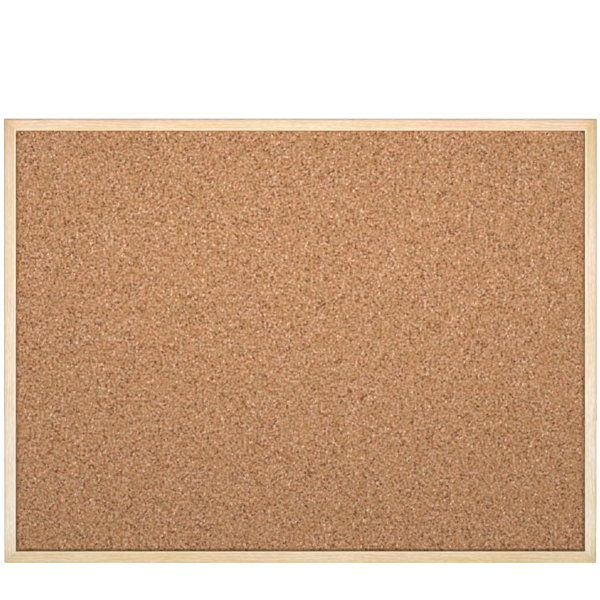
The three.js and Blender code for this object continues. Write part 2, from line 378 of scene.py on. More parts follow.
@nodeGroup("Place", "Radius", "Grit")
def edgeWear(place, radius, grit):
    # Rubbed edges, broken up by a fine cloud
    rounded = addNode("Bevel", {"Radius": times(radius, mm)}, samples=6).outputs[0]
    alike = calcVector("DOT_PRODUCT", surfaceNormal(place), rounded, output="Value")
    broken = remap(cloud(place, inverse(grit), 3, 0.6), *effectLook["wearGritEdges"])
    return {"Worn": times(remap(alike, *effectLook["wearEdges"]), broken)}


def crossingStrands(place, length, width, turns, detail, seeds):
    # The strongest of several clouds, each drawn out along its own direction in the X Z plane
    across = inverse(width)
    squeeze = joined(inverse(length), across, across)
    strongest = 0.0
    for turn, seed in zip(turns, seeds):
        strand = cloud(scaled(turnedAboutY(place, math.radians(turn)), squeeze), 1, detail, seed=seed)
        strongest = calc("MAXIMUM", strongest, strand)
    return strongest


@nodeGroup("Place", "Length", "Width")
def pressedFibre(place, length, width):
    # Short fibres lying every way in the X Z plane, as in softboard and hardboard
    turns = effectLook["fibreTurns"]
    seeds = [index * effectLook["fibreSeed"] for index in range(len(turns))]
    strands = crossingStrands(place, length, width, turns, 2, seeds)
    lumps = cloud(place, calc("DIVIDE", effectLook["lumps"], length), 3, 0.6, 2.0)
    return {"Fibres": remap(strands, *effectLook["fibreEdges"]), "Lumps": lumps}


@nodeGroup("Place", "Length", "Width", "Seed")
def scratches(place, length, width, seed):
    # Fine straight scratches in two directions across X and Z
    lines = crossingStrands(place, length, width, effectLook["scratchTurns"], 1, (seed, seed))
    return {"Scratches": remap(lines, *effectLook["scratchEdges"])}


@nodeGroup("Place", "Amount")
def dust(place, amount):
    # Settles on faces that look up
    tilt = remap(axesOf(surfaceNormal(place))["Z"], *effectLook["dustTilt"])
    drift = remap(cloud(place, 1 / effectLook["dustDrift"], 4, 0.65, 5.0), *effectLook["dustEdges"])
    return {"Dust": times(tilt, drift, amount)}


print("shared effects made")


def wearEdges(place, colour, look, wornTone):
    radius, grit, strength = look["wear"]
    return paint(colour, wornTone, edgeWear(place, radius, grit), strength)


def layDust(place, colour, look):
    return paint(colour, look["dustTone"], dust(place, look["dust"]))


def edgeDistances(axes):
    # From the outline of the board to the left or right, and up or down
    halves = ((halfWidth, "X"), (halfHeight, "Z"))
    return [minus(half, calc("ABSOLUTE", axes[key])) for half, key in halves]


# Pine rails. Reaches are millimetres from the outside of a rail, or from what the note says, and
# go from where an effect is nothing to where it is full, unless it says otherwise.

pineLook = {
    "specular": 0.35, "rough": (0.52, 0.68), "roughEdges": (0.3, 0.7), "bump": 0.05,
    "patchSize": 45.0, "patchShare": 0.2,
    "middleReach": (130.0, 30.0), "endReach": (170.0, 240.0),  # from the middle of a level rail
    "honeyShare": 0.8,
    "ringSize": 2.4, "ringStrength": 0.55, "ringTone": tone(214, 168, 122),
    "fibreStrength": 0.3, "fibreEdges": (0.52, 0.64), "fibreTone": tone(188, 150, 108),
    "poreStrength": 0.3, "poreTone": tone(176, 128, 84),
    "shadeTint": (0.943, 0.921, 0.852, 1), "fleckTint": (0.89, 0.866, 0.835, 1),  # multiplied in
    "frontReach": (7.0, 3.2),  # behind the front face
    "outerTint": (1.0, 0.97, 0.88, 1), "outerReach": (9.0, 3.0),  # the outer half of a rail is warmer
    "sideBounceTint": (1.0, 0.965, 0.9, 1),  # painted bounce light: the sides and the rear are warmer too
    "cornerCore": 2.0, "cornerRagged": 8.0,  # from the corner
    "warmReach": (11.0, 4.0), "warmInside": 0.55, "warmRear": 0.3,  # less of a corner's tint
    # Painted shade along the outer arris, and a darker band near the outer corners
    "arrisShadeTone": tone(168, 152, 112), "arrisShadeStrength": 0.42, "edgeCore": 0.1,
    "cornerDarkening": 0.14, "cornerDarkReach": (18.0, 5.0),  # from the corner
    "innerHighlightTone": tone(255, 236, 204), "innerHighlightReach": (2.2, 0.5),  # painted highlight on the inner arris, from the lip
    "creaseShadeTone": tone(112, 76, 38), "creaseShadeReach": (0.5, 0.1),  # painted shade on the lip's wall
    "creaseShadeDepth": (0.3, 1.4),  # behind the front face
    "mitreTone": tone(150, 104, 62), "mitreStrength": 0.12, "mitreReach": (0.5, 0.1),  # from the joint
    "wear": (0.5, 2.5, 0.3), "wornTone": tone(246, 228, 196),  # radius, grit and strength
    "dust": 0.2, "dustTone": tone(214, 208, 196),
    "sawPitch": 0.9, "sawReach": (0.5, 0.1),  # saw marks on the unsanded rear
    "fibreRelief": 0.6, "ringRelief": -0.35, "sawRelief": 0.25,
}

# Each rail is cut from its own stick, so the grain starts elsewhere and the tone shifts. Pairs of
# tones go from the ends to the middle of a level rail, and from the foot to the top of an upright.
# Corners are for the foot and for the top: the tint multiplied in, and its reach in millimetres.
# Each rail also sets how strong the painted highlight on its inner arris and the painted shade on its lip's
# wall are
levelRail = {
    "grain": "X", "edgeReach": 2.6, "corners": (((0.95, 0.94, 0.88, 1), (1.0, 0.89, 0.68, 1)), (25, 40)),
}
uprightRail = {
    "grain": "Z", "edgeReach": 3.3, "endTint": (1, 1, 1, 1), "outer": 0.4, "inner": 0.7, "creaseShade": 0.95,
}
railLook = {
    "rail_top": {
        **levelRail, "seed": 3.0, "heart": (0, 262, 18), "outer": 0.2, "inner": 0.3, "creaseShade": 0.2,
        "endTint": (1.05, 1.065, 1.13, 1), "edgeReach": 3.8,
        "cream": (tone(235, 220, 199), tone(233, 219, 204)),
        "rose": (tone(241, 202, 185), tone(238, 205, 190)),
        "honey": (tone(229, 206, 157), tone(228, 207, 167)),
    },
    "rail_bottom": {
        **levelRail, "seed": 11.0, "heart": (0, -262, 16), "outer": 0.7, "inner": 0.8, "creaseShade": 0.6,
        "endTint": (1.01, 1.035, 1.07, 1),
        "cream": (tone(241, 227, 198), tone(243, 230, 210)),
        "rose": (tone(245, 213, 188), tone(247, 218, 196)),
        "honey": (tone(237, 215, 166), tone(239, 219, 178)),
    },
    "rail_left": {
        **uprightRail, "seed": 21.0, "heart": (0, -338, 20),
        "cream": (tone(254, 253, 250), tone(231, 216, 202)),
        "rose": (tone(255, 239, 234), tone(236, 200, 187)),
        "honey": (tone(250, 243, 221), tone(226, 205, 167)),
        "corners": (((0.88, 0.83, 0.66, 1), (0.95, 0.84, 0.62, 1)), (36, 54)),
    },
    "rail_right": {
        **uprightRail, "seed": 34.0, "heart": (0, 338, 20),
        "cream": (tone(253, 252, 247), tone(229, 213, 195)),
        "rose": (tone(255, 237, 230), tone(235, 197, 179)),
        "honey": (tone(249, 242, 214), tone(225, 202, 157)),
        "corners": (((0.88, 0.83, 0.66, 1), (0.99, 0.915, 0.79, 1)), (36, 54)),
    },
}


def pineMaterial(name, look, rail):
    material, tree, shader, place = newMaterial("pine_" + name, look["specular"])
    axes = axesOf(place)
    along, across = (axes["X"], axes["Z"]) if rail["grain"] == "X" else (axes["Z"], axes["X"])
    grain = woodGrain(joined(along, across, axes["Y"]), rail["heart"], look["ringSize"], rail["seed"])
    patches = blotches(place, look["patchSize"], rail["seed"])
    height = remap(axes["Z"], -halfHeight, halfHeight, curve="LINEAR")
    fromMiddle = calc("ABSOLUTE", axes["X"])
    run = remap(fromMiddle, *look["middleReach"]) if rail["grain"] == "X" else height
    cream, rose, honey = (mixColour(run, *rail[key]) for key in ("cream", "rose", "honey"))
    colour = mixColour(grain["Streaks"], cream, rose)
    colour = paint(colour, honey, grain["Bands"], look["honeyShare"])
    mottle = weighed((grain["Shade"], 1 - look["patchShare"]), (patches, look["patchShare"]))
    colour = tinted(colour, look["shadeTint"], mottle)
    colour = tinted(colour, look["fleckTint"], grain["Flecks"])
    colour = tinted(colour, rail["endTint"], remap(fromMiddle, *look["endReach"]))
    # Growth rings, fibres and pores
    rings = times(grain["Rings"], patches)
    fibres = remap(grain["Fibres"], *look["fibreEdges"])
    for mark, share in (("ring", rings), ("fibre", fibres), ("pore", grain["Pores"])):
        colour = paint(colour, look[mark + "Tone"], share, look[mark + "Strength"])
    # Where on the rail a point lies
    fromSide, fromEnd = edgeDistances(axes)
    fromOutside = calc("MINIMUM", fromSide, fromEnd)
    fromCorner = calcVector("LENGTH", joined(fromSide, fromEnd), output="Value")
    front = remap(axes["Y"], *(frontFace + depth for depth in look["frontReach"]))
    # Warm outer half and corners, and painted warm bounce light on the sides and the rear
    outer = times(remap(fromOutside, *look["outerReach"], 0.0, rail["outer"]), front)
    colour = tinted(colour, look["outerTint"], outer)
    cornerTints, cornerReaches = rail["corners"]
    ragged = weighed((fromCorner, 1.0), (patches, look["cornerRagged"]))
    near = remap(ragged, between(height, *cornerReaches), look["cornerCore"])
    inward = remap(fromOutside, *look["warmReach"], look["warmInside"], 1.0)
    rearward = remap(front, 0.0, 1.0, look["warmRear"], 1.0)
    cornerTint = mixColour(height, *cornerTints)
    colour = tinted(colour, cornerTint, times(near, inward, rearward))
    # Painted bounce light: away from the front the wood is warmer
    colour = tinted(colour, look["sideBounceTint"], minus(1.0, front))
    # The line of the mitre, painted shade along the outer arris with darkening near the outer corners, and a
    # painted highlight on the inner arris
    fromMitre = calc("ABSOLUTE", minus(fromSide, fromEnd))
    mitre = remap(fromMitre, *look["mitreReach"])
    colour = paint(colour, look["mitreTone"], mitre, look["mitreStrength"])
    shadedArris = remap(fromOutside, rail["edgeReach"], look["edgeCore"], 0.0, look["arrisShadeStrength"])
    darkCorner = remap(fromCorner, *look["cornerDarkReach"], 0.0, look["cornerDarkening"])
    colour = paint(colour, look["arrisShadeTone"], plus(shadedArris, darkCorner), front)
    # Painted highlight along the inner arris, beside the lip
    inner = remap(fromOutside, *(railLip - reach for reach in look["innerHighlightReach"]), 0.0, rail["inner"])
    colour = paint(colour, look["innerHighlightTone"], inner, front)
    # Painted shade on the lip's wall, strongest deep in the crease by the cork
    deep = remap(axes["Y"], *(frontFace + depth for depth in look["creaseShadeDepth"]))
    shadedWall = remap(fromOutside, *(railLip - reach for reach in look["creaseShadeReach"]))
    colour = paint(colour, look["creaseShadeTone"], deep, shadedWall, rail["creaseShade"])
    colour = wearEdges(place, colour, look, look["wornTone"])
    colour = layDust(place, colour, look)
    # The rear keeps its saw marks
    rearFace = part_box(name)[1].y / mm
    rear = remap(axes["Y"], *(rearFace - reach for reach in look["sawReach"]))
    marks = calc("SINE", times(along, 2 * math.pi / look["sawPitch"]))
    relief = weighed((grain["Fibres"], look["fibreRelief"]), (grain["Rings"], look["ringRelief"]),
                     (times(marks, patches, rear), look["sawRelief"]))
    roughness = remap(grain["Fibres"], *look["roughEdges"], *look["rough"], "LINEAR")
    finishMaterial(tree, shader, colour, roughness, relief, look["bump"])
    return material


# Cork sheet

corkLook = {
    "step": 2.0 * mm,  # mesh spacing
    "relief": 0.10 * mm,  # gentle unevenness of the face
    "waves": ((14, 0.4), (4, 0.35)), "roughShare": 0.25,  # each wave in steps, and what it counts
    "pit": 0.15 * mm,  # extra depth of the few pits
    "pitShare": 0.05,
    "hem": (2.7 * mm, 4.5 * mm),  # the margin pressed flat under the frame's lip
    "seed": 7,
    "specular": 0.25, "rough": (0.95, 0.8), "bump": 0.1,
    "granule": 2.2,  # coarse granules, in millimetres
    "fineGranule": 1.4,
    "crumbEdges": (0.45, 0.55),  # which cells are broken into crumbs
    "warp": 1.6, "warpSize": 1.6,
    "band": 2.5,  # from one curved band to the next
    "bandEdges": (0.25, 0.75),
    "rimReach": 0.25,
    "drawShare": 0.31, "bandShare": 0.35, "rimShare": 0.04,  # of the shade of a granule
    "calm": (0.79, 1.21),  # contrast in the calm and in the busy patches
    "tones": [
        (0.0, tone(98, 42, 1)), (0.2, tone(140, 87, 43)), (0.4, tone(172, 121, 80)),
        (0.6, tone(195, 146, 108)), (0.8, tone(217, 172, 135)), (1.0, tone(243, 205, 171)),
    ],
    "redPatches": (9.0, 1.0), "greyPatches": (10.0, 7.0),  # size and seed
    "olive": (0.83, 0.906, 0.9, 1), "red": (0.926, 0.866, 0.876, 1),  # multiplied in
    "yellow": (1.0, 1.0, 0.9, 1), "grey": (1.0, 1.0, 1.1, 1),
    "grit": (1 / 0.5, 2, 0.6, 4.0), "gritEdges": (0.25, 0.75), "gritTint": (0.9, 1.1),
    "barkTone": tone(107, 55, 15), "barkCell": 2.5, "barkShare": 0.045, "barkStrength": 0.85,
    "barkTurns": (math.radians(35), math.radians(125)),
    "paleTone": tone(237, 200, 164), "paleCell": 2.2, "paleShare": 0.03, "paleStrength": 0.7,
    "paleTurn": 1.2,
    "lipShadowTint": (0.68, 0.74, 0.68, 1), "lipShadowWidth": (2.4, 0.2),  # painted shadow along the frame's lip
    "domeRelief": 0.6, "gritRelief": 0.4, "barkRelief": -0.5,
}


def corkMaterial(look):
    material, tree, shader, place = newMaterial("cork", look["specular"])
    # Everything is drawn across the face, so X and Z are enough
    axes = axesOf(place)
    face = joined(axes["X"], axes["Z"])
    shift = centred(flatCloud(face, look["warpSize"], 2.0, 1), (look["warp"],) * 3)
    ragged = calcVector("ADD", face, shift)
    coarse = flatCells(ragged, 1 / look["granule"])
    fine = flatCells(ragged, 1 / look["fineGranule"])
    gap = flatCells(ragged, 1 / look["granule"], feature="DISTANCE_TO_EDGE")["Distance"]
    coarseDraw, fineDraw = drawsOf(coarse), drawsOf(fine)
    crumb = remap(coarseDraw["Green"], *look["crumbEdges"])
    draw = addNode("Mix", {0: crumb, 2: coarseDraw["Red"], 3: fineDraw["Red"]}).outputs[0]
    # Curved light and dark bands from the layers of the bark, and granules dark towards their rims
    bands = remap(flatCloud(ragged, look["band"], 0.0), *look["bandEdges"], curve="LINEAR")
    dome = remap(gap, 0.0, look["rimReach"])
    parts = ((draw, look["drawShare"]), (bands, look["bandShare"]), (dome, look["rimShare"]))
    shade = minus(weighed(*parts), sum(share for value, share in parts) / 2)
    # Patches that are calm or busy, that lean to red or olive, and to yellow or grey
    greyness = blotches(place, *look["greyPatches"])
    redness = blotches(place, *look["redPatches"])
    shade = plus(times(shade, between(greyness, *look["calm"])), 0.5)
    colour = colourRamp(shade, look["tones"])
    for share, low, high in ((redness, "olive", "red"), (greyness, "yellow", "grey")):
        colour = mixColour(1.0, colour, mixColour(share, look[low], look[high]), "MULTIPLY")
    # Grain inside each granule
    grit = cloud(place, *look["grit"])
    grain = remap(grit, *look["gritEdges"], *look["gritTint"], "LINEAR")
    grainColour = addNode("CombineColor", {0: grain, 1: grain, 2: grain}).outputs[0]
    colour = mixColour(1.0, colour, grainColour, "MULTIPLY")
    # Dark bark specks and pale specks
    warped = axesOf(ragged)
    raggedPlace = joined(warped["X"], 0.0, warped["Y"])
    pale = specks(raggedPlace, look["paleCell"], look["paleShare"], look["paleTurn"])
    bark = 0.0
    for turn in look["barkTurns"]:
        spots = specks(raggedPlace, look["barkCell"], look["barkShare"], turn)
        bark = calc("MAXIMUM", bark, spots)
    colour = paint(colour, look["paleTone"], pale, look["paleStrength"])
    colour = paint(colour, look["barkTone"], bark, look["barkStrength"])
    # Painted shadow: a darker rim along the frame's lip
    fromOutside = calc("MINIMUM", *edgeDistances(axes))
    rim = remap(fromOutside, *(railLip + width for width in look["lipShadowWidth"]))
    colour = tinted(colour, look["lipShadowTint"], rim)
    # Granules stand up between the gaps, specks sink
    relief = weighed((dome, look["domeRelief"]), (grit, look["gritRelief"]), (bark, look["barkRelief"]))
    finishMaterial(tree, shader, colour, between(draw, *look["rough"]), relief, look["bump"])
    return material


def softField(rng, shape, cell):
    # Smooth random field: coarse draws, spread over the grid with eased steps
    rows, columns = (int(size / cell) + 3 for size in shape)
    field = rng.random((rows, columns))
    for axis, size in enumerate(shape):
        at = np.arange(size) / cell
        low = at.astype(int)
        part = at - low
        ease = part * part * (3 - 2 * part)
        ease = ease[:, None] if axis == 0 else ease[None, :]
        first, second = np.take(field, low, axis), np.take(field, low + 1, axis)
        field = first + (second - first) * ease
    return field


def makeCorkSheet(look):
    low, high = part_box("cork_sheet")
    columns = round((high.x - low.x) / look["step"]) + 1
    rows = round((high.z - low.z) / look["step"]) + 1
    xs, zs = np.linspace(low.x, high.x, columns), np.linspace(low.z, high.z, rows)
    rng = np.random.default_rng(look["seed"])
    wave = sum(softField(rng, (rows, columns), cell) * share for cell, share in look["waves"])
    wave = wave + rng.random((rows, columns)) * look["roughShare"]
    pits = rng.random((rows, columns)) < look["pitShare"]
    sink = look["relief"] * (1 - wave) + look["pit"] * pits * rng.random((rows, columns))
    margin = np.minimum.outer(np.minimum(zs - low.z, high.z - zs), np.minimum(xs - low.x, high.x - xs))
    flat, free = look["hem"]
    sink = sink * np.clip((margin - flat) / (free - flat), 0, 1)
    front = [(x, low.y + sink[j, i], z) for j, z in enumerate(zs) for i, x in enumerate(xs)]
    faces = [(j * columns + i, j * columns + i + 1, (j + 1) * columns + i + 1, (j + 1) * columns + i)
             for j in range(rows - 1) for i in range(columns - 1)]
    # The rim runs once round the sheet, and its rear copy closes the back
    rim = list(range(columns)) + [j * columns + columns - 1 for j in range(1, rows)]
    rim += [(rows - 1) * columns + i for i in range(columns - 2, -1, -1)]
    rim += [j * columns for j in range(rows - 2, 0, -1)]
    start, count = len(front), len(rim)
    rear = [(front[index][0], high.y, front[index][2]) for index in rim]
    for k in range(count):
        after = (k + 1) % count
        faces.append((rim[after], rim[k], start + k, start + after))
    right, top = columns - 1, columns + rows - 2
    left = top + columns - 1
    for i in range(1, columns - 2):
        faces.append((start + i + 1, start + i, start + left - i, start + left - i - 1))
    faces.append(tuple(start + k for k in [1, 0] + list(range(count - 1, left - 2, -1))))
    faces.append(tuple(start + k for k in range(top + 1, right - 2, -1)))
    return meshObject("cork_face", front + rear, faces)


# Glue in the mitres, and the rubber of the bumpers

glueLook = {
    "base": tone(176, 136, 92), "cast": tone(138, 100, 62), "patches": (1.4, 9.0),
    "dust": 0.4, "dustTone": pineLook["dustTone"],
    "specular": 0.5, "rough": (0.3, 0.55), "grit": (1 / 0.2, 2, 0.6, 3.0), "bump": 0.02,
    "thickness": 0.06,  # the joint is 0.1 mm wide
    "sunk": (0.2, 0.45),  # below the face of the rails, uneven along the joint
    "outerArris": ((0.2, 1.7), (0.55, 0.95)),  # from the outside, and behind the front face
    "faceRun": (1.3, 1.0), "faceSteps": 18,  # starts from the outside and ends before the lip's edge
    "innerArris": (0.2, 0.9),  # before the lip's edge, and behind the front face
    "lipBack": 0.35,  # in front of the cork
    "rebateWall": 8.25,  # from the outside
    "back": -13.0,  # stays in front of the nails
    "seed": 5,
}

rubberLook = {
    "base": tone(219, 218, 212), "cast": tone(205, 202, 192), "patches": (2.0, 12.0),
    "wear": (0.5, 0.9, 0.5), "grime": tone(150, 145, 134), "dust": 0.5, "dustTone": tone(196, 190, 178),
    "specular": 0.45, "rough": (0.42, 0.58), "grit": (1 / 0.18, 3, 0.6, 1.0), "bump": 0.02,
}


def mottledMaterial(name, look):
    # Two close tones in patches, grime on the edges where there is any, dust and a fine grit
    material, tree, shader, place = newMaterial(name, look["specular"])
    patches = blotches(place, *look["patches"])
    colour = mixColour(patches, look["base"], look["cast"])
    if "grime" in look:
        colour = wearEdges(place, colour, look, look["grime"])
    colour = layDust(place, colour, look)
    grit = cloud(place, *look["grit"])
    finishMaterial(tree, shader, colour, between(patches, *look["rough"]), grit, look["bump"])
    return material


def prismFaces(count):
    # Two closed outlines of as many points each, capped and joined
    faces = [tuple(range(count)), tuple(range(2 * count - 1, count - 1, -1))]
    return faces + [(k, (k + 1) % count, count + (k + 1) % count, count + k) for k in range(count)]


def makeGlueLine(name, sideways, upwards, look, rng):
    # A film in the plane of the mitre, with the outline of the rail's section drawn in as the
    # glue shrank
    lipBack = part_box("cork_sheet")[0].y / mm - look["lipBack"]
    least, most = look["sunk"]
    first, last = look["faceRun"]
    outline = [(least, look["back"])] + [(along, frontFace + deep) for along, deep in look["outerArris"]]
    for index in range(look["faceSteps"] + 1):
        along = first + (railLip - first - last) * index / look["faceSteps"]
        outline.append((along, frontFace + least + (most - least) * rng.random()))
    before, behind = look["innerArris"]
    outline += [(railLip - before, frontFace + behind), (railLip - before, lipBack)]
    outline += [(look["rebateWall"], lipBack), (look["rebateWall"], look["back"])]
    shift = look["thickness"] / 2 / math.sqrt(2)
    vertices = []
    for turn in (-shift, shift):
        for along, y in outline:
            x, z = sideways * (halfWidth - along + turn), upwards * (halfHeight - along - turn)
            vertices.append((x * mm, y * mm, z * mm))
    return meshObject(name, vertices, prismFaces(len(outline)))


# Boards behind the cork

pressedBoard = {
    "patches": (60.0, 3.0), "patchStrength": 0.35, "speckShare": 0.12, "speckTurn": 0.6,
    "wear": (0.5, 1.2, 0.6), "dust": 0.5, "dustTone": tone(205, 198, 186), "specular": 0.3,
    "screenPitch": 1.4,
}
boardLook = {
    "softboard": {
        **pressedBoard, "pale": tone(196, 172, 132), "dark": tone(150, 124, 88),
        "speck": tone(112, 88, 60), "speckCell": 2.4, "speckStrength": 0.6,
        "length": 5.0, "width": 0.45, "bump": 0.25, "rough": (1.0, 0.9), "screen": 0.0,
    },
    "hardboard": {
        **pressedBoard, "pale": tone(142, 102, 66), "dark": tone(98, 66, 40),
        "speck": tone(70, 46, 28), "speckCell": 1.3, "speckStrength": 0.45,
        "length": 2.2, "width": 0.22, "bump": 0.12, "rough": (0.8, 0.62), "screen": 1.3,
    },
}


def boardMaterial(name, look):
    material, tree, shader, place = newMaterial(name, look["specular"])
    strands = pressedFibre(place, look["length"], look["width"])
    colour = mixColour(strands["Fibres"], look["dark"], look["pale"])
    patches = blotches(place, *look["patches"])
    colour = paint(colour, look["pale"], patches, look["patchStrength"])
    spots = specks(place, look["speckCell"], look["speckShare"], look["speckTurn"])
    colour = paint(colour, look["speck"], spots, look["speckStrength"])
    colour = wearEdges(place, colour, look, look["pale"])
    colour = layDust(place, colour, look)
    # The rear of hardboard carries the print of the wire screen that it was pressed on
    axes = axesOf(place)
    pitch = 2 * math.pi / look["screenPitch"]
    weave = times(*(calc("SINE", times(axes[key], pitch)) for key in "XZ"))
    relief = weighed((strands["Fibres"], 1.0), (strands["Lumps"], 1.0), (weave, look["screen"]))
    roughness = between(strands["Fibres"], *look["rough"])
    finishMaterial(tree, shader, colour, roughness, relief, look["bump"])
    return material


# Metal

plainMetal = {
    "patches": (2.6, 6.0), "scratch": (5.0, 0.05, 2.0), "scratchStrength": 0.4,  # length, width, seed
    "wear": (0.18, 0.7, 0.8), "dust": 0.25, "dustTone": tone(200, 196, 188),
    "stains": (1 / 1.1, 4, 0.6, 8.0), "stainEdges": (0.58, 0.72), "stainRough": 0.5,
    "grit": (1 / 0.12, 2, 0.6, 3.0), "scratchRelief": -0.6,
}
metalLook = {
    "zinc": {
        **plainMetal, "base": tone(190, 193, 196), "cast": tone(176, 180, 178), "worn": tone(222, 223, 224),
        "stain": tone(120, 112, 98), "stainStrength": 0.15, "rough": (0.26, 0.44), "bump": 0.012,
    },
    "strip": {
        **plainMetal, "base": tone(142, 144, 147), "cast": tone(120, 118, 116), "worn": tone(190, 191, 193),
        "stain": tone(104, 78, 56), "stainStrength": 0.35, "rough": (0.36, 0.58), "bump": 0.015,
    },
}


def metalMaterial(name, look):
    material, tree, shader, place = newMaterial(name, metallic=1.0)
    patches = blotches(place, *look["patches"])
    marks = scratches(place, *look["scratch"])
    clouded = cloud(place, *look["stains"])
    stain = remap(clouded, *look["stainEdges"], 0.0, look["stainStrength"])
    colour = mixColour(patches, look["base"], look["cast"])
    colour = paint(colour, look["stain"], stain)
    colour = wearEdges(place, colour, look, look["worn"])
    colour = paint(colour, look["worn"], marks, look["scratchStrength"])
    colour = layDust(place, colour, look)
    relief = weighed((cloud(place, *look["grit"]), 1.0), (marks, look["scratchRelief"]))
    dullness = weighed((between(patches, *look["rough"]), 1.0), (stain, look["stainRough"]))
    finishMaterial(tree, shader, colour, dullness, relief, look["bump"])
    return material


# Mesh helpers

dressLook = {
    "weld": 0.005 * mm,
    "sharp": 32,  # edges above this angle stay sharp
    "bevelAngle": 35,
}


def faceOut(mesh):
    work = bmesh.new()
    work.from_mesh(mesh)
    bmesh.ops.recalc_face_normals(work, faces=work.faces)
    work.to_mesh(mesh)
    work.free()


def meshObject(name, vertices, faces):
    mesh = bpy.data.meshes.new(name)
    mesh.from_pydata([tuple(map(float, vertex)) for vertex in vertices], [], faces)
    faceOut(mesh)
    return linkObject(name, mesh)


def applyModifiers(piece):
    bpy.context.view_layer.update()
    graph = bpy.context.evaluated_depsgraph_get()
    mesh = bpy.data.meshes.new_from_object(piece.evaluated_get(graph))
    piece.modifiers.clear()
    piece.data = mesh
    faceOut(mesh)


def smoothByAngle(piece, degrees):
    piece.data.shade_smooth()
    piece.data.set_sharp_from_angle(angle=math.radians(degrees))


def addBevel(piece, width, degrees):
    bevel = piece.modifiers.new("bevel", "BEVEL")
    bevel.width = width
    bevel.segments = 2
    bevel.limit_method = "ANGLE"
    bevel.angle_limit = math.radians(degrees)
    bevel.use_clamp_overlap = True


def weightNormals(piece):
    weighted = piece.modifiers.new("normals", "WEIGHTED_NORMAL")
    weighted.keep_sharp = True


def makeSmoothing(degrees):
    # Modifier tree that drops stored normals and keeps edges above the angle sharp
    tree = bpy.data.node_groups.new("smoothing", "GeometryNodeTree")
    for way in ("INPUT", "OUTPUT"):
        tree.interface.new_socket("Geometry", in_out=way, socket_type="NodeSocketGeometry")
    entry, leave = tree.nodes.new("NodeGroupInput"), tree.nodes.new("NodeGroupOutput")
    angle = tree.nodes.new("GeometryNodeInputMeshEdgeAngle")
    sharp = tree.nodes.new("FunctionNodeCompare")
    sharp.operation = "GREATER_THAN"
    sharp.inputs[1].default_value = math.radians(degrees)
    normals = tree.nodes.new("GeometryNodeSetMeshNormal")
    normals.mode = "SHARPNESS"
    tree.links.new(angle.outputs["Unsigned Angle"], sharp.inputs[0])
    tree.links.new(entry.outputs[0], normals.inputs["Mesh"])
    tree.links.new(sharp.outputs[0], normals.inputs["Edge Sharpness"])
    tree.links.new(normals.outputs[0], leave.inputs[0])
    return tree


def easedCorner(first, corner, last, steps):
    # Points on the curve that cuts a corner
    shares = [index / steps for index in range(steps + 1)]
    return [tuple(first * (1 - at) ** 2 + corner * 2 * at * (1 - at) + last * at ** 2) for at in shares]


def roundProfile(points, radius, steps=5):
    # Rounds every corner of a lathe profile that isn't on the axis
    rounded = [points[0]]
    for before, corner, after in zip(points, points[1:], points[2:]):
        corner = Vector(corner)
        toward = (Vector(before) - corner, Vector(after) - corner)
        cut = min(radius, *(side.length * 0.45 for side in toward))
        first, last = (corner + side.normalized() * cut for side in toward)
        rounded += easedCorner(first, corner, last, steps)
    return rounded + [points[-1]]


def latheObject(name, profile, steps):
    # Radius and height pairs turned about Y. The first and the last lie on the axis.
    vertices, faces = [(0, profile[0][1], 0)], []
    for radius, height in profile[1:-1]:
        for k in range(steps):
            turn = 2 * math.pi * k / steps
            vertices.append((radius * math.cos(turn), height, radius * math.sin(turn)))
    vertices.append((0, profile[-1][1], 0))
    rings = len(profile) - 2
    for k in range(steps):
        after = (k + 1) % steps
        faces.append((0, 1 + k, 1 + after))
        for ring in range(rings - 1):
            low, high = 1 + ring * steps, 1 + (ring + 1) * steps
            faces.append((low + k, high + k, high + after, low + after))
        last = 1 + (rings - 1) * steps
        faces.append((last + k, len(vertices) - 1, last + after))
    return meshObject(name, vertices, faces)


smoothing = makeSmoothing(dressLook["sharp"])


def dressNode(name, material, bevel=0.0):
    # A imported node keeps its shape: welded, edges broken where a width is given, new normals
    node = frame["nodes"][name]
    weld = node.modifiers.new("weld", "WELD")
    weld.merge_threshold = dressLook["weld"]
    if bevel:
        addBevel(node, bevel, dressLook["bevelAngle"])
    shading = node.modifiers.new("smoothing", "NODES")
    shading.node_group = smoothing
    weightNormals(node)
    for slot in node.material_slots:
        slot.material = material


def placePiece(piece, material, slot, body, *nodes):
    piece.data.materials.clear()
    piece.data.materials.append(material)
    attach(piece, body)
    if nodes:
        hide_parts(*nodes)


# Ring hangers

ringLook = {
    "wire": 1.0 * mm,  # radius
    "reach": 9.0 * mm,  # hinge to the middle of the far wire
    "corner": 1.6 * mm,
    "restGap": 0.3 * mm,  # hanging ring to the strap
    "sides": 24,
    "steps": 168,
}

strapLook = {
    "sheet": 0.8 * mm,
    "slit": 0.05 * mm,  # between the two folded layers
    "play": 0.195 * mm,  # knuckle to wire
    "pinch": 60,  # degrees past the rear that the knuckle closes
    "bend": 0.5 * mm,
    "foldTop": 4.0 * mm,  # hinge down to where both layers lie flat
    "hole": 1.3 * mm,
    "bevel": 0.1 * mm,
    "across": 8, "turns": 28, "bendSteps": 6, "sideSteps": 10, "endSteps": 20,
    "plateShares": (0.45, 0.15, 0.0),  # rings of a plate, as shares of the way out from its hole
}

screwLook = {
    "shank": 1.1, "tip": 3.0, "length": 11.0, "rim": 0.5, "head": 1.5, "round": 0.12, "bevel": 0.05,
    "recessSpan": 2.8, "recessWidth": 0.7, "recessDepth": 0.8, "recessTaper": 0.62, "overrun": 0.5,
    "steps": 64, "domeSteps": 12,
}


def hingeOf(body):
    return Vector(next(joint["pos_m"] for joint in frame["joints"] if joint["child"] == body))


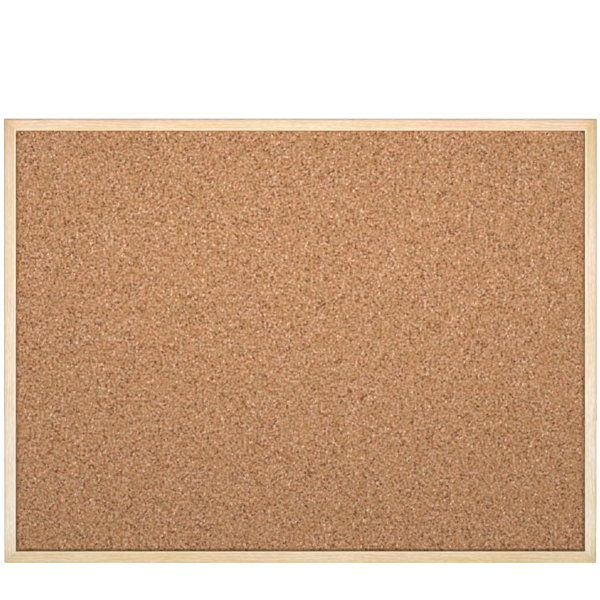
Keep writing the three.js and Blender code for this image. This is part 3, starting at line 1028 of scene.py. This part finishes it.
def ringPath(half, reach, corner, steps):
    # Bar on the hinge, two legs and a half round, as evenly spaced points in X and Z
    arch = reach - half
    quarter, leg = math.pi / 2 * corner, arch - corner
    parts = [2 * (half - corner), quarter, leg, math.pi * half, leg, quarter]
    points = []
    for index in range(steps):
        at, part = sum(parts) * index / steps, 0
        while at > parts[part]:
            at -= parts[part]
            part += 1
        if part == 0:
            points.append((corner - half + at, 0))
        elif part == 1:
            turn = math.pi / 2 - at / corner
            points.append((half - corner + corner * math.cos(turn), corner * (math.sin(turn) - 1)))
        elif part == 2:
            points.append((half, -corner - at))
        elif part == 3:
            points.append((half * math.cos(at / half), -arch - half * math.sin(at / half)))
        elif part == 4:
            points.append((-half, -arch + at))
        else:
            turn = math.pi - at / corner
            points.append((corner - half + corner * math.cos(turn), corner * (math.sin(turn) - 1)))
    return points


def makeRing(side, look, sheet):
    low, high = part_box(f"hanger_ring_{side}")
    hinge = hingeOf(f"ring_{side}")
    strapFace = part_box(f"hanger_strap_{side}")[0].y + 2 * sheet
    tilt = math.asin((strapFace + look["restGap"] + look["wire"] - hinge.y) / look["reach"])
    path = ringPath((high.x - low.x) / 2 - look["wire"], look["reach"], look["corner"], look["steps"])
    swing = Matrix.Rotation(tilt, 3, "X")
    vertices, faces = [], []
    count, sides = len(path), look["sides"]
    for index, (x, z) in enumerate(path):
        before, after = path[index - 1], path[(index + 1) % count]
        run = Vector((after[0] - before[0], after[1] - before[1])).normalized()
        for k in range(sides):
            turn = 2 * math.pi * k / sides
            out, depth = look["wire"] * math.cos(turn), look["wire"] * math.sin(turn)
            vertices.append(swing @ Vector((x - run.y * out, depth, z + run.x * out)) + hinge)
            a, b = index * sides + k, index * sides + (k + 1) % sides
            c, d = (index + 1) % count * sides + k, (index + 1) % count * sides + (k + 1) % sides
            faces.append((a, b, d, c))
    ring = meshObject(f"d_ring_{side}", vertices, faces)
    ring.data.shade_smooth()
    return ring


def foldLine(look, wire):
    # The middle of the sheet in Y and Z about the hinge: up the rail side, round the wire and down
    thick = look["sheet"] - look["slit"] / 2
    outside = wire + look["play"] + look["sheet"]
    middle = outside - thick / 2
    rearPlate = 2 * look["sheet"] - outside - thick / 2
    close = math.radians(look["pinch"])
    line = [(-middle, -look["foldTop"]), (-middle, -look["foldTop"] / 2)]
    for index in range(look["turns"] + 1):
        turn = math.pi - (math.pi + close) * index / look["turns"]
        line.append((middle * math.cos(turn), middle * math.sin(turn)))
    # Straight on to the rear plate, then an eased bend downwards
    slope = Vector((-math.sin(close), -math.cos(close)))
    leave = Vector(line[-1])
    elbow = leave + slope * (leave.x - rearPlate) / math.sin(close)
    cut = look["bend"] * math.tan(math.pi / 4 - close / 4)
    line += easedCorner(elbow - slope * cut, elbow, elbow + Vector((0, -cut)), look["bendSteps"])
    line.append((rearPlate, -look["foldTop"]))
    return line, thick


def plateOutline(half, drop, look):
    # From one end of a plate's top row round the lower end to the other, in X and Z
    sideSteps, endSteps = look["sideSteps"], look["endSteps"]
    straight = drop - look["foldTop"]
    outline = [(half, -look["foldTop"] - straight * k / sideSteps) for k in range(1, sideSteps)]
    for k in range(endSteps + 1):
        turn = math.pi * k / endSteps
        outline.append((half * math.cos(turn), -drop - half * math.sin(turn)))
    return outline + [(-half, -drop + straight * k / sideSteps) for k in range(1, sideSteps)]


def makeStrap(side, look, wire):
    low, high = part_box(f"hanger_strap_{side}")
    hinge = hingeOf(f"ring_{side}")
    screwLow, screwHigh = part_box(f"hanger_screw_{side}")
    drop = hinge.z - (screwLow.z + screwHigh.z) / 2
    half, across = (high.x - low.x) / 2, look["across"]
    line, thick = foldLine(look, wire)
    vertices, faces, rows = [], [], []

    def addPoint(x, y, z):
        vertices.append(Vector((x, y, z)) + hinge)
        return len(vertices) - 1

    for y, z in line:
        rows.append([addPoint(half * (2 * k / across - 1), y, z) for k in range(across + 1)])
    for lower, upper in zip(rows, rows[1:]):
        faces += [(lower[k], lower[k + 1], upper[k + 1], upper[k]) for k in range(across)]
    # Each plate closes on the screw hole, ring by ring
    for row, y in ((rows[0], line[0][0]), (rows[-1], line[-1][0])):
        rim = row + [addPoint(x, y, z) for x, z in plateOutline(half, drop, look)]
        centre = Vector((0, y, -drop)) + hinge
        outer, count = rim, len(rim)
        for share in look["plateShares"]:
            inner = []
            for index in rim:
                away = vertices[index] - centre
                at = centre + away.normalized() * (look["hole"] + (away.length - look["hole"]) * share)
                inner.append(addPoint(*(at - hinge)))
            for k in range(count):
                after = (k + 1) % count
                faces.append((outer[k], outer[after], inner[after], inner[k]))
            outer = inner
    strap = meshObject(f"folded_strap_{side}", vertices, faces)
    solid = strap.modifiers.new("sheet", "SOLIDIFY")
    solid.thickness = thick
    solid.offset = 0
    solid.use_even_offset = True
    addBevel(strap, look["bevel"], 50)
    applyModifiers(strap)
    smoothByAngle(strap, 40)
    weightNormals(strap)
    return strap


def crossCutter(look):
    # Four tapered wings, drawn as a plus sign that narrows with depth
    span, width = look["recessSpan"] / 2, look["recessWidth"] / 2
    head = look["head"]
    levels = ((head + look["overrun"], 1.0), (head - look["recessDepth"], look["recessTaper"]))
    corners = [(span, -width), (span, width), (width, width), (width, span), (-width, span), (-width, width)]
    corners += [(-x, -z) for x, z in corners]
    vertices = [(x * share, y, z * share) for y, share in levels for x, z in corners]
    return meshObject("recess_cutter", vertices, prismFaces(len(corners)))


def makeScrew(side, look):
    # Made in millimetres, so that the cut is clean, then shrunk
    low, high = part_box(f"hanger_screw_{side}")
    radius = (high.x - low.x) / 2 / mm
    rim, head = look["rim"], look["head"]
    dome = []
    for k in range(1, look["domeSteps"]):
        turn = math.pi / 2 * k / look["domeSteps"]
        dome.append((radius * math.cos(turn), rim + (head - rim) * math.sin(turn)))
    corners = [(0, -look["length"]), (look["shank"], look["tip"] - look["length"]), (look["shank"], 0)]
    corners += [(radius, 0), (radius, rim)]
    profile = roundProfile(corners + [dome[0]], look["round"])[:-1] + dome + [(0, head)]
    screw = latheObject(f"pan_screw_{side}", profile, look["steps"])
    cutter = crossCutter(look)
    cut = screw.modifiers.new("recess", "BOOLEAN")
    cut.operation, cut.solver, cut.object = "DIFFERENCE", "EXACT", cutter
    applyModifiers(screw)
    bpy.data.objects.remove(cutter)
    addBevel(screw, look["bevel"], 40)
    applyModifiers(screw)
    centre = Vector(((low.x + high.x) / 2, high.y - head * mm, (low.z + high.z) / 2))
    screw.data.transform(Matrix.Translation(centre) @ Matrix.Scale(mm, 4))
    smoothByAngle(screw, 35)
    return screw


# Wall bumpers

bumperLook = {
    "waist": 1.2 * mm, "face": 2.6 * mm, "fillet": 0.3 * mm, "filletSteps": 6, "steps": 72,
}


def makeBumper(side, look):
    low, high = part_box(f"wall_bumper_{side}")
    radius, height = (high.x - low.x) / 2, high.y - low.y
    corners = [(0, 0), (radius, 0), (radius, look["waist"]), (look["face"], height), (0, height)]
    profile = roundProfile(corners, look["fillet"], look["filletSteps"])
    bumper = latheObject(f"bumper_{side}", profile, look["steps"])
    bumper.data.transform(Matrix.Translation(((low.x + high.x) / 2, low.y, (low.z + high.z) / 2)))
    smoothByAngle(bumper, 40)
    return bumper


# Everything in its place

addCamera(viewLook)
for name, look in lightLook.items():
    addLight(name, look)
print("camera and lights in place")


def makeRoom(look):
    # The camera sees a plain pale backdrop. The light that falls on things is dimmer.
    world = bpy.data.worlds.new("room")
    scene.world = world
    world.use_nodes = True
    tree = world.node_tree
    tree.nodes.clear()
    axes = axesOf(tree.nodes.new("ShaderNodeTexCoord").outputs["Generated"])
    fromRear = remap(axes["Y"], *look["rearEdges"], look["roomFront"], look["roomRear"])
    fromAbove = remap(axes["Z"], *look["topEdges"], 0.0, look["roomTop"])
    soft = addNode("Background", {"Strength": plus(fromRear, fromAbove)}).outputs[0]
    seen = tree.nodes.new("ShaderNodeBackground")
    seen.inputs["Color"].default_value = (1, 1, 1, 1)
    seen.inputs["Strength"].default_value = look["backdrop"]
    looking = tree.nodes.new("ShaderNodeLightPath").outputs["Is Camera Ray"]
    both = addNode("MixShader", {0: looking, 1: soft, 2: seen.outputs[0]}).outputs[0]
    tree.links.new(both, tree.nodes.new("ShaderNodeOutputWorld").inputs[0])


def makeFloor(look):
    radius, sides, level = look["floorRadius"], look["floorSides"], cadBox[0].z - look["floorDrop"]
    turns = [2 * math.pi * k / sides for k in range(sides)]
    vertices = [(radius * math.cos(turn), radius * math.sin(turn), level) for turn in turns]
    floor = meshObject("floor", vertices, [tuple(range(sides))])
    material = bpy.data.materials.new("floor")
    material.use_nodes = True
    shader = material.node_tree.nodes["Principled BSDF"]
    shader.inputs["Base Color"].default_value = (*look["floorTone"], 1)
    shader.inputs["Roughness"].default_value = look["floorRoughness"]
    shader.inputs["Emission Color"].default_value = (1, 1, 1, 1)
    shader.inputs["Emission Strength"].default_value = look["floorGlow"]
    floor.data.materials.append(material)
    floor.visible_diffuse = False
    floor.visible_shadow = False  # two of the lamps stand lower than the floor


makeRoom(stageLook)
makeFloor(stageLook)
scene.view_settings.view_transform = "Standard"
print("room and floor in place")

for name, rail in railLook.items():
    dressNode(name, pineMaterial(name, pineLook, rail))
print("pine rails dressed")

glue = mottledMaterial("mitre_glue", glueLook)
glueDraws = np.random.default_rng(glueLook["seed"])
for upwards, level in ((1, "top"), (-1, "bottom")):
    for sideways, side in ((-1, "left"), (1, "right")):
        film = makeGlueLine(f"glue_line_{level}_{side}", sideways, upwards, glueLook, glueDraws)
        placePiece(film, glue, "pine", "board")
print("mitres glued")

placePiece(makeCorkSheet(corkLook), corkMaterial(corkLook), "cork", "board", "cork_sheet")
print("cork sheet made")

dressNode("core_board", boardMaterial("softboard", boardLook["softboard"]), 0.3 * mm)
dressNode("back_panel", boardMaterial("hardboard", boardLook["hardboard"]), 0.2 * mm)
strip = metalMaterial("rolled_strip", metalLook["strip"])
zinc = metalMaterial("zinc_plate", metalLook["zinc"])
for name in frame["nodes"]:
    if name.startswith(("retainer_tab", "v_nail")):
        dressNode(name, strip, 0.06 * mm)
print("boards, tabs and nails dressed")

rubber = mottledMaterial("rubber", rubberLook)
for side in ("left", "right"):
    ring = makeRing(side, ringLook, strapLook["sheet"])
    placePiece(ring, zinc, "zinc_steel", f"ring_{side}", f"hanger_ring_{side}")
    strap = makeStrap(side, strapLook, ringLook["wire"])
    placePiece(strap, zinc, "zinc_steel", "board", f"hanger_strap_{side}")
    placePiece(makeScrew(side, screwLook), zinc, "zinc_steel", "board", f"hanger_screw_{side}")
    placePiece(makeBumper(side, bumperLook), rubber, "rubber", "board", f"wall_bumper_{side}")
print("hangers and bumpers made")
